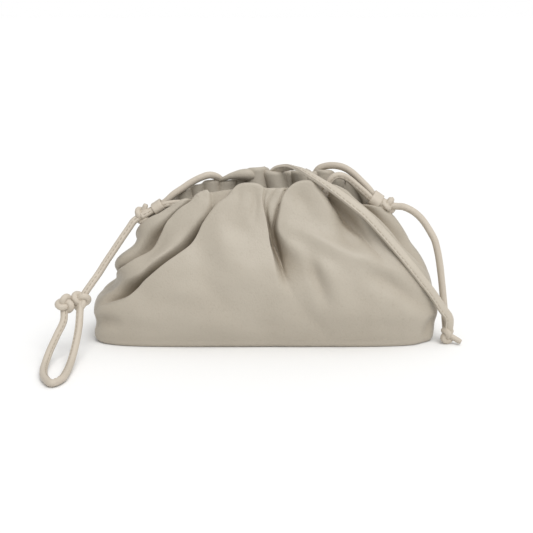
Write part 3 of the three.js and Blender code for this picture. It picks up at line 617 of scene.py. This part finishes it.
def softUnevenness(grid):  # slow waves in the leather, and fine lines down from the gather
    look = unevenness
    slow = noiseOver(grid, lambda p: noise.fractal(
        Vector(p) * look["slowScale"], look["roughness"], 2.0, look["layers"]))
    fine = noiseOver(grid, lambda p: noise.noise(Vector(p * look["fineScale"] + look["fineShift"])))
    level = grid[..., 2] / pouch["frontRim"]
    start, span = look["fineFade"]
    wave = look["slow"] * slow * smoothStep(level / look["slowFade"])
    wave += look["fine"] * fine * smoothStep((level - start) / span)
    return grid + gridNormals(grid, 12) * wave[..., None]


def relaxed(grid, turns):  # leather has no sharp corners: each point moves towards its neighbours
    for _ in range(turns):
        grid = smoothRing(grid, 1)
        inner = grid.copy()
        inner[:, 1:-1] = 0.5 * grid[:, 1:-1] + 0.25 * (grid[:, 2:] + grid[:, :-2])
        grid = inner
    return grid


pouchGrid = relaxed(pouchGrid, 2)
pouchGrid, pouchPaintedShade = pressMarks(pouchGrid, pouchPaintedShade)
pouchGrid = relaxed(softUnevenness(pouchGrid), 1)
print("pouch shell shaped")


# Cords
cord = {
    "diameter": 4.6, "sides": 28, "groove": 0.35, "grooveWidth": 0.28, "lip": 0.12, "lipAt": 0.6, "lipWidth": 0.3,
    "wobble": 0.02, "wobbleScale": 0.12, "seam": math.pi / 2, "stitchPitch": 3.1, "stitchLength": 2.0,
    "stitchWidth": 0.55, "stitchSunk": 0.55, "plainEnd": 3,
}
stitchShape = {"rings": 4, "sides": 6, "roundness": 0.6}


def cordOutline(seam, size=1.0, sides=cord["sides"]):  # rolled cord with a sunken seam at one side
    a = np.arange(sides) * 2 * math.pi / sides
    away = np.angle(np.exp(1j * (a - seam)))
    r = cord["diameter"] / 2 * size * np.ones(sides)
    r -= cord["groove"] * np.exp(-(away / cord["grooveWidth"]) ** 2)
    r += cord["lip"] * np.exp(-((away - cord["lipAt"]) / cord["lipWidth"]) ** 2)
    return np.stack([r * np.cos(a), r * np.sin(a)], 1)


def stitchRow(name, places, alongs, outs, length, width):  # small rounded stitches, one at each place
    points, faces = [], []
    rings, sides = stitchShape["rings"], stitchShape["sides"]
    for p, t, o in zip(places, alongs, outs):
        s = np.cross(t, o)
        faces += ringFaces(rings, sides, start=len(points)) + endFaces(rings, sides, len(points))
        for k in range(rings):
            a = math.pi * (k + 0.5) / rings
            reach = math.sin(a) ** stitchShape["roundness"] * width / 2
            for i in range(sides):
                b = 2 * math.pi * i / sides
                points.append(p + t * (-math.cos(a) * length / 2) + (s * math.cos(b) + o * math.sin(b)) * reach)
    return meshObject(name, points, faces, threadYarn)


def stitchSteps(line, margin, pitch):
    return np.clip(np.round(np.arange(margin, len(line) - margin, pitch)).astype(int), 0, len(line) - 1)


def buildCord(name, route, seamFirst):  # a cord along its route, its seam turned towards seamFirst at the start
    line = lineThrough(route)
    tangent, normal, side = carryFrame(line, seamFirst)
    wobble = lambda k: 1 + cord["wobble"] * noise.noise(Vector(line[k] * cord["wobbleScale"]))
    obj = sweepMesh(name + "_cord", line, normal, side, lambda k: cordOutline(cord["seam"], wobble(k)), cordLeather)
    at = stitchSteps(line, cord["plainEnd"], cord["stitchPitch"])
    out = math.cos(cord["seam"]) * side[at] + math.sin(cord["seam"]) * normal[at]
    r = cord["diameter"] / 2 - cord["groove"] * cord["stitchSunk"]
    stitches = stitchRow(name + "_stitches", line[at] + out * r, tangent[at], out,
                         cord["stitchLength"], cord["stitchWidth"])
    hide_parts(name)
    return obj, stitches, line


routes = {  # x, y, z of each point in turn
    "frontLeft": [-81, -8.6, 82.6, -75.5, -7.6, 85.2, -70, -6.4, 88.2, -64, -7, 90.2, -55, -8.6, 91.3],
    "frontRight": [40.6, -7.6, 102.8, 42.6, -7, 106.6, 46, -6.5, 108.9, 50.5, -6, 108.8,
        55.4, -5.5, 106.1, 60.1, -5, 102.1, 64.8, -4.5, 98, 69.5, -4, 93.6, 74, -4, 90.3,
        81, -4.6, 88],
    "backLeft": [-81, -3.6, 83, -75.5, -2.2, 85.2, -70.2, -1.4, 88, -65.3, -0.6, 91, -60.7, 0, 95.2,
        -54, 1, 99.7, -48.1, 2, 103.5, -42.2, 2.5, 106.4, -36.6, 3.4, 107.9, -32, 6, 106.4],
    "backRight": [33.6, 10.9, 107.4, 36, 10, 111.2, 40, 9.2, 112.9, 45.1, 8, 113.6, 51.6, 6.5, 112.6,
        57.5, 5, 109.3, 62.8, 3.5, 104.6, 68, 2, 99.5, 73, 1, 93.6, 81, 0.4, 89.4],
    "tailLeft": [-80.1, -6, 83, -85.7, -9, 79.6, -88.9, -11, 75.3, -93.2, -14, 69.3, -98.2, -17.5, 62.1,
        -103, -22, 55.2, -107.1, -26, 48.9, -111, -31, 43.6, -114.5, -34.5, 38.8, -117.9, -38, 33.6],
    "loop": [-127.6, -42, 32.8, -127, -47, 23.8, -130.2, -54, 16.1, -133.4, -62, 8.6, -134.6, -71, 3.6,
        -133.4, -82, 2.7, -129.8, -94, 2.7, -124, -102, 2.7, -120, -96, 2.7, -118.9, -84, 3,
        -118.7, -69, 5.4, -117.8, -58, 12.2, -117.2, -49, 20.4, -117.4, -42.5, 28, -117.6, -38, 33.6],
    "tailRight": [81.1, -2, 88.6, 86.8, -3, 88.2, 90.7, -4, 88.1, 95.2, -5, 86.4, 99.1, -6, 84,
        103.1, -7, 80.2, 106.4, -8, 75.7, 109, -9, 71.5, 111.4, -10, 67, 113.6, -11, 59.2,
        115.4, -11.6, 49.9, 117, -12, 39.1, 118.3, -12.6, 29.1, 119.2, -14, 20.7, 119.6, -16.4, 13.6,
        120, -19.5, 7],
    "strap": [0.3, 24, 94.4, 1, 17.5, 95.4, 1.8, 12, 97.6, 2.6, 8.4, 102.2, 4.4, 6.8, 107.4,
        7.6, 4.8, 110.8, 11.9, 2, 112.8, 17, -1.5, 113.9, 22.7, -7, 113.2, 29, -12.5, 110.5,
        35.2, -16.5, 107.3, 44.2, -19.2, 101.8, 54.4, -21.2, 94.4, 64.7, -22.3, 86.2, 73.8, -23.6, 76.7,
        83.4, -26.4, 66.2, 93.2, -28.2, 54.7, 101.4, -27.4, 44.4, 108.6, -26, 35.2, 115.8, -24.6, 24.5,
        120.6, -23.8, 17.4, 120.6, -23, 7],
}
drawcordFront, _, frontLine = buildCord(
    "drawcord_front", routes["frontLeft"] + mouthRun(0.6, 1.37, 8) + routes["frontRight"], (0, -1, 0.3))
drawcordBack, _, backLine = buildCord(
    "drawcord_back", routes["backLeft"] + mouthRun(3.22, 2.68, 7) + routes["backRight"], (0, 1, 0.6))
tailLeft, tailLeftStitches, tailLeftLine = buildCord("tail_left", routes["tailLeft"], (-0.3, -1, 0.2))
wristLoop, loopStitches, loopLine = buildCord("wrist_loop", routes["loop"], (0.6, -0.7, 0.2))
tailRight, tailRightStitches, tailRightLine = buildCord("tail_right", routes["tailRight"], (0.5, 1, 0.2))
print("cords ready")


# Strap: a strip folded once, its open edges stitched together
strapLook = {
    "width": 6.0, "thick": 2.6, "groove": 0.32, "grooveAt": -1.55, "grooveWidth": 0.5, "rounding": 0.45,
    "roundDepth": 0.72, "openEdge": 0.35, "edgeStep": 0.25, "faceColumns": 15, "edgeColumns": 3, "turnSpan": 15,
    "stitchPitch": 2.7, "stitchLength": 1.8, "stitchWidth": 0.5, "stitchSunk": 0.7, "plainEnd": 4,
}
strapFacing = np.array([  # share of the length, outward direction of the strap's face
    (0.0, 0.0, 0.0, 1.0), (0.12, 0.1, 0.95, 0.2), (0.26, -0.3, 0.25, 0.92), (0.3, -0.2, 0.1, 0.95),
    (0.38, 0.1, -0.6, 0.79), (0.5, 0.32, -0.8, 0.5), (0.7, 0.35, -0.86, 0.37), (0.88, 0.35, -0.88, 0.3),
    (1.0, 0.3, -0.93, 0.2)])


def strapOutline():
    half, thick = strapLook["width"] / 2, strapLook["thick"] / 2
    face, edge = strapLook["faceColumns"], strapLook["edgeColumns"]
    x = np.concatenate([np.linspace(-half, half, face), np.full(edge, half)])
    y = np.concatenate([np.full(face, thick), np.linspace(thick / 2, -thick / 2, edge)])
    x, y = np.concatenate([x, -x]), np.concatenate([y, -y])
    rounding = strapLook["rounding"]
    outwards = np.clip((np.abs(x) - half * (1 - rounding)) / (half * rounding), 0, 1)
    y = y * np.sqrt(np.clip(1 - outwards ** 2 * strapLook["roundDepth"], 0, 1))
    y -= np.sign(y) * strapLook["groove"] * np.exp(-((x - strapLook["grooveAt"]) / strapLook["grooveWidth"]) ** 2)
    between = (np.abs(x + half) < 0.01) & (np.abs(y) < strapLook["openEdge"])  # the two open edges
    return np.stack([np.where(between, x + strapLook["edgeStep"], x), y], 1)


def buildStrap():
    line = lineThrough(routes["strap"])
    share = np.linspace(0, 1, len(line))
    span = strapLook["turnSpan"]
    facing = np.stack([np.interp(share, strapFacing[:, 0], strapFacing[:, k]) for k in (1, 2, 3)], 1)
    facing = np.stack([np.convolve(np.pad(facing[:, k], span // 2, mode="edge"), np.ones(span) / span, "valid")
                       for k in range(3)], 1)
    tangent = unit(np.gradient(line, axis=0))
    normal = unit(facing - tangent * (facing * tangent).sum(1, keepdims=True))
    side = np.cross(normal, tangent)
    outline = strapOutline()
    obj = sweepMesh("front_strap_strip", line, normal, side, lambda k: outline, strapLeather)
    at = stitchSteps(line, strapLook["plainEnd"], strapLook["stitchPitch"])
    row = line[at] + side[at] * strapLook["grooveAt"]
    out = normal[at] * (strapLook["thick"] / 2 - strapLook["groove"] * strapLook["stitchSunk"])
    stitches = stitchRow("front_strap_stitches", np.concatenate([row + out, row - out]),
                         np.concatenate([tangent[at]] * 2), np.concatenate([normal[at], -normal[at]]),
                         strapLook["stitchLength"], strapLook["stitchWidth"])
    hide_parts("front_strap")
    return obj, stitches, line, normal, side


frontStrap, strapStitches, strapLine, strapNormal, strapSide = buildStrap()


# Knots: an overhand knot of the cord, pulled tight
knots = {
    "knot_left": {"place": (-80.1, -6, 83), "turn": (1.4, 0.2, 0.3), "size": 12.8,
                  "tip": [(-80.1, -6.5, 84), (-78.9, -6.8, 87.6), (-77.8, -7, 90.2)]},
    "knot_right": {"place": (81.1, -2, 88.6), "turn": (1.5, -0.3, 0.8), "size": 12.6},
    "loop_knot": {"place": (-117.6, -38, 33.9), "turn": (1.3, 0.3, 0.1), "size": 13.8},
    "button_knot": {"place": (-126.4, -43, 33.2), "turn": (1.1, -0.6, 0.6), "size": 13.2},
    "end_knot": {"place": (120.1, -22.5, 5.7), "turn": (1.5, 0.4, 1.1), "size": 12.2,
                 "tip": [(120.5, -22.8, 6.2), (123.6, -24.4, 4.6), (126.8, -26, 3.0), (128.6, -27, 2.2)]},
    "strap_knot": {"place": (0.3, 25, 94.2), "turn": (1.4, 0.1, 0.5), "size": 11.6},
}
knotLook = {"tube": 2.15, "steps": 90, "sides": 20, "crossing": 1.75, "flat": 0.4, "seam": 1.2, "floorGap": 0.05,
            "tip": (0.84, 1.25, 0.4)}


def buildKnot(name):
    spec = knots[name]
    tube, count = knotLook["tube"], knotLook["sides"]
    reach = (spec["size"] / 2 - tube) / 3
    t = np.linspace(0, 2 * math.pi, knotLook["steps"], endpoint=False)
    line = np.stack([reach * (np.sin(t) + 2 * np.sin(2 * t)), reach * (np.cos(t) - 2 * np.cos(2 * t)),
                     -knotLook["crossing"] * np.sin(3 * t)], 1)
    tangent = unit(np.roll(line, -1, 0) - np.roll(line, 1, 0))
    normal = unit(line * np.array([1, 1, knotLook["flat"]]))
    normal = unit(normal - tangent * (normal * tangent).sum(1, keepdims=True))
    outline = cordOutline(knotLook["seam"], tube / (cord["diameter"] / 2), count)
    rings = sweptRings(line, normal, np.cross(tangent, normal), lambda k: outline)
    turn = np.array(Euler(spec["turn"]).to_matrix())
    points = np.vstack(rings) @ turn.T + np.array(spec["place"])
    points[:, 2] += max(0, knotLook["floorGap"] - points[:, 2].min())
    faces = ringFaces(len(rings), count, closed=True)
    if "tip" in spec:  # the cut end of the cord
        tip = lineThrough(spec["tip"], 0.7)
        _, normal, side = carryFrame(tip, (0, 0, 1))
        size, start, loss = knotLook["tip"]
        taper = size * np.minimum(1, start - loss * np.linspace(0, 1, len(tip)) ** 2)
        faces += ringFaces(len(tip), count, start=len(points)) + endFaces(len(tip), count, len(points))
        points = np.vstack([points] + sweptRings(tip, normal, side, lambda k: outline * taper[k]))
    obj = meshObject(name + "_tied", points, faces, cordLeather)
    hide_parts(name)
    return obj


tied = {name: buildKnot(name) for name in knots}
print("knots ready")


# Bands: a short leather sleeve round both drawcords
bands = {
    "slider_band_left": {"place": (-70.1, -3.9, 88.1), "along": (-0.78, -0.06, -0.5), "across": (0, 1, 0)},
    "slider_band_right": {"place": (73.1, -1.4, 92.3), "along": (0.72, -0.1, -0.5), "across": (-0.12, 0.85, 0.6)},
}
bandLook = {"length": 7.0, "wall": 1.3, "room": 0.3, "middle": 0.3, "waist": 0.1, "waistWidth": 1.5,
            "bevel": 0.35, "sharp": 50}


def buildBand(name):
    spec = bands[name]
    radius = cord["diameter"] / 2 + bandLook["room"]
    spread = (cord["diameter"] + bandLook["room"]) / 2
    bpy.ops.object.select_all(action="DESELECT")
    bpy.ops.mesh.primitive_cylinder_add(vertices=40, radius=radius * mm, depth=bandLook["length"] * mm,
                                        end_fill_type="NOTHING")
    obj = bpy.context.object
    obj.name = name + "_sleeve"
    bpy.ops.object.mode_set(mode="EDIT")
    bpy.ops.mesh.select_all(action="SELECT")
    bpy.ops.mesh.subdivide(number_cuts=3)
    bpy.ops.object.mode_set(mode="OBJECT")
    for v in obj.data.vertices:  # spread the round sleeve over two cords and pinch its middle
        v.co.x += math.copysign(spread * mm, v.co.x) * min(1, abs(v.co.x) / (bandLook["middle"] * mm))
        v.co.y *= 1 - bandLook["waist"] * math.exp(-(v.co.x / (bandLook["waistWidth"] * mm)) ** 2)
    thick = obj.modifiers.new("wall", "SOLIDIFY")
    thick.thickness, thick.offset = bandLook["wall"] * mm, 1
    edge = obj.modifiers.new("edge", "BEVEL")
    edge.width, edge.segments = bandLook["bevel"] * mm, 3
    edge.limit_method, edge.angle_limit = "ANGLE", math.radians(bandLook["sharp"])
    for modifier in ("wall", "edge"):
        bpy.ops.object.modifier_apply(modifier=modifier)
    z = Vector(spec["along"]).normalized()
    y = z.cross(Vector(spec["across"])).normalized()
    x = y.cross(z)
    placed = Matrix((x, y, z)).transposed().to_4x4()
    placed.translation = Vector(spec["place"]) * mm
    obj.data.transform(placed)
    obj.data.materials.append(cordLeather)
    obj.data.shade_smooth()
    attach(obj, "root")
    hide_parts(name)


for name in bands:
    buildBand(name)
print("bands ready")


# Pouch: the shaped shell with its rolled foot, its turned-in rim and its thickness
# hemShade is the painted shade on the hem at the front of the mouth
rimRoll = {"radius": 1.5, "backRadius": 2.7, "steps": 6, "hem": (2.0, 4.5, 7.0), "backHem": 2.2, "backLean": 0.3,
           "backFrom": (3, 8), "upright": 0.2, "hemShade": 0.4}
footRoll = {"radius": 3.8, "steps": 5, "endsTo": 2.2, "flat": (0.85, 0.5, 0.12)}
strapBed = {"reach": 16, "slope": 0.9, "from": 0.3, "before": 18, "gap": 0.05}
wallThickness = 1.3


def pressUnder(grid):  # the leather gives way where the strap lies on it
    tree = KDTree(len(strapLine))
    for i, p in enumerate(strapLine):
        tree.insert(p, i)
    tree.balance()
    first, last = int(strapBed["from"] * len(strapLine)), len(strapLine) - strapBed["before"]
    for column in grid:
        for j, p in enumerate(column):
            if p[1] > 0:
                continue
            _, k, gap = tree.find(p)
            if gap > strapBed["reach"] or k < first or k > last:
                continue
            off = p - strapLine[k]
            above = off.dot(strapNormal[k]) + strapLook["thick"] / 2 + strapBed["gap"]
            beside = max(0, abs(off.dot(strapSide[k])) - strapLook["width"] / 2)
            column[j] = p - strapNormal[k] * max(0, above - beside * strapBed["slope"])
    return grid


rimStrand = {
    "points": [[-31.5, 8, 103], [-28.6, 5.5, 104.6], [-25.4, 4.2, 106], [-21.8, 3.6, 107.3], [-16.5, 3.4, 108.2],
               [-11.5, 3.8, 108.2], [-7.9, 5.4, 107], [-6, 8.5, 104.5]],
    "radius": [0.8, 1.3, 1.8, 2.5, 3.4, 3.9, 3.4, 2.4], "spacing": 0.8, "sides": 24,
}


def buildRimStrand():  # a pinched fold of the leather that lies along the back rim
    line = lineThrough(rimStrand["points"], rimStrand["spacing"])
    share = np.linspace(0, 1, len(line))
    radius = np.interp(share, np.linspace(0, 1, len(rimStrand["radius"])), rimStrand["radius"])
    _, normal, side = carryFrame(line, (0, -1, 0.3))
    a = np.linspace(0, 2 * math.pi, rimStrand["sides"], endpoint=False)
    circle = np.stack([np.cos(a), np.sin(a)], 1)
    return sweepMesh("rim_strand", line, normal, side, lambda k: circle * radius[k], pouchLeather)


def rimRings(grid, shade):  # the rim rolls inwards and ends in a hem inside the mouth, with painted shade on the hem at the front
    top, up = grid[:, -1], unit(grid[:, -1] - grid[:, -3])
    outward = unit(unit(smoothRing(gridNormals(grid), 10))[:, -1] * np.array([1, 1, rimRoll["upright"]]))
    start, span = rimRoll["backFrom"]
    back = smoothStep((top[:, 1] + start) / span)[:, None]
    r = rimRoll["radius"] + (rimRoll["backRadius"] - rimRoll["radius"]) * back
    rings = []
    for k in range(1, rimRoll["steps"] + 1):
        a = math.pi * k / rimRoll["steps"]
        rings.append(top - outward * r * (1 - math.cos(a)) + up * r * math.sin(a))
    inner = smoothRing(top - outward * 2 * r, 2)
    tilt = smoothRing(lobeTilt, 4)[:, None] * np.array([1, 0, 0])
    hemUp = unit(up * (1 - back) + back * (np.array([0, rimRoll["backLean"], 1]) + tilt))
    for drop in rimRoll["hem"]:
        rings.append(inner - hemUp * drop * (1 + (rimRoll["backHem"] - 1) * back))
    # painted shade: the hem inside the front of the mouth is darkened
    hemShade = shade + rimRoll["hemShade"] * (1 - back[:, 0])
    return rings, [shade] * rimRoll["steps"] + [hemShade] * len(rimRoll["hem"])


def footRings(foot):  # from the middle of the foot outwards to its rolled edge
    inward = unit(foot * np.array([1 / footRoll["endsTo"], 1, 0]))
    rings = []
    for k in range(1, footRoll["steps"] + 1):
        a = math.pi / 2 * k / footRoll["steps"]
        ring = foot - inward * footRoll["radius"] * (1 - math.cos(a))
        ring[:, 2] = foot[:, 2] * (1 - math.sin(a))
        rings.insert(0, ring)
    flat = [rings[0] * np.array([share, share, 0]) for share in footRoll["flat"]]
    return flat[::-1] + rings


def buildPouch():
    grid = relaxed(pressUnder(pouchGrid.copy()), 1)
    columns, shades = list(grid.swapaxes(0, 1)), list(pouchPaintedShade.T)
    foot, (rim, rimShades) = footRings(columns[0]), rimRings(grid, shades[-1])
    rings = foot + columns + rim
    shades = [shades[0]] * len(foot) + shades + rimShades
    count = len(grid)
    faces = ringFaces(len(rings), count) + [tuple(range(count))]
    obj = meshObject("bag_body_leather", np.vstack(rings), faces, pouchLeather)
    # the painted crease shade, stored per point for the leather's colour
    paintedShade = obj.data.attributes.new("paintedShade", "FLOAT", "POINT")
    paintedShade.data.foreach_set("value", np.concatenate(shades).astype(np.float32))
    thick = obj.modifiers.new("wall", "SOLIDIFY")
    thick.thickness, thick.offset = wallThickness * mm, -1
    strand = buildRimStrand()
    bpy.ops.object.select_all(action="DESELECT")
    strand.select_set(True)
    obj.select_set(True)
    bpy.context.view_layer.objects.active = obj
    bpy.ops.object.modifier_apply(modifier="wall")
    bpy.ops.object.join()
    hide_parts("bag_body")
    print("pouch triangles:", sum(len(p.vertices) - 2 for p in obj.data.polygons))


buildPouch()
print("pouch ready")


# Floor and light
stageLook = {"floor": (0.88, 0.88, 0.875), "floorSize": 80, "roughness": 0.9, "gloss": 0.1,
             "world": (1.0, 1.0, 1.0), "ambient": 0.5, "backdrop": 1.0}
lights = [  # wide soft suns, so that the floor is evenly lit
    {"name": "keySun", "from": (0.3, -0.75, 1.0), "softness": 50, "power": 1.9},
    {"name": "topSun", "from": (0.3, 0.25, 1.0), "softness": 80, "power": 0.7},
]


def buildStage():
    bpy.ops.object.select_all(action="DESELECT")
    bpy.ops.mesh.primitive_plane_add(size=stageLook["floorSize"])
    floor = bpy.context.object
    floor.name = "floor"
    material = bpy.data.materials.new("paleFloor")
    material.use_nodes = True
    shader = material.node_tree.nodes["Principled BSDF"]
    shader.inputs["Base Color"].default_value = (*stageLook["floor"], 1)
    shader.inputs["Roughness"].default_value = stageLook["roughness"]
    shader.inputs["Specular IOR Level"].default_value = stageLook["gloss"]
    floor.data.materials.append(material)
    world = bpy.data.worlds.new("paleRoom")
    world.use_nodes = True
    tree = world.node_tree
    background = tree.nodes["Background"]
    background.inputs["Color"].default_value = (*stageLook["world"], 1)
    seen = addNode(tree, "ShaderNodeLightPath").outputs["Is Camera Ray"]
    extra = mathNode(tree, "MULTIPLY", seen, stageLook["backdrop"] - stageLook["ambient"])
    tree.links.new(mathNode(tree, "ADD", extra, stageLook["ambient"]), background.inputs["Strength"])
    scene.world = world
    for spec in lights:
        data = bpy.data.lights.new(spec["name"], "SUN")
        data.energy, data.angle = spec["power"], math.radians(spec["softness"])
        lamp = bpy.data.objects.new(spec["name"], data)
        lamp.rotation_euler = Vector(spec["from"]).to_track_quat("Z", "Y").to_euler()
        scene.collection.objects.link(lamp)
    view = scene.view_settings
    view.view_transform, view.look, view.exposure, view.gamma = "Standard", "None", 0, 1


buildStage()


# Lengths of the cords and the strap
for obj, line in ((drawcordFront, frontLine), (drawcordBack, backLine), (tailLeft, tailLeftLine),
                  (wristLoop, loopLine), (tailRight, tailRightLine), (frontStrap, strapLine)):
    print(obj.name, "measures", round(lineLength(line), 1), "mm")
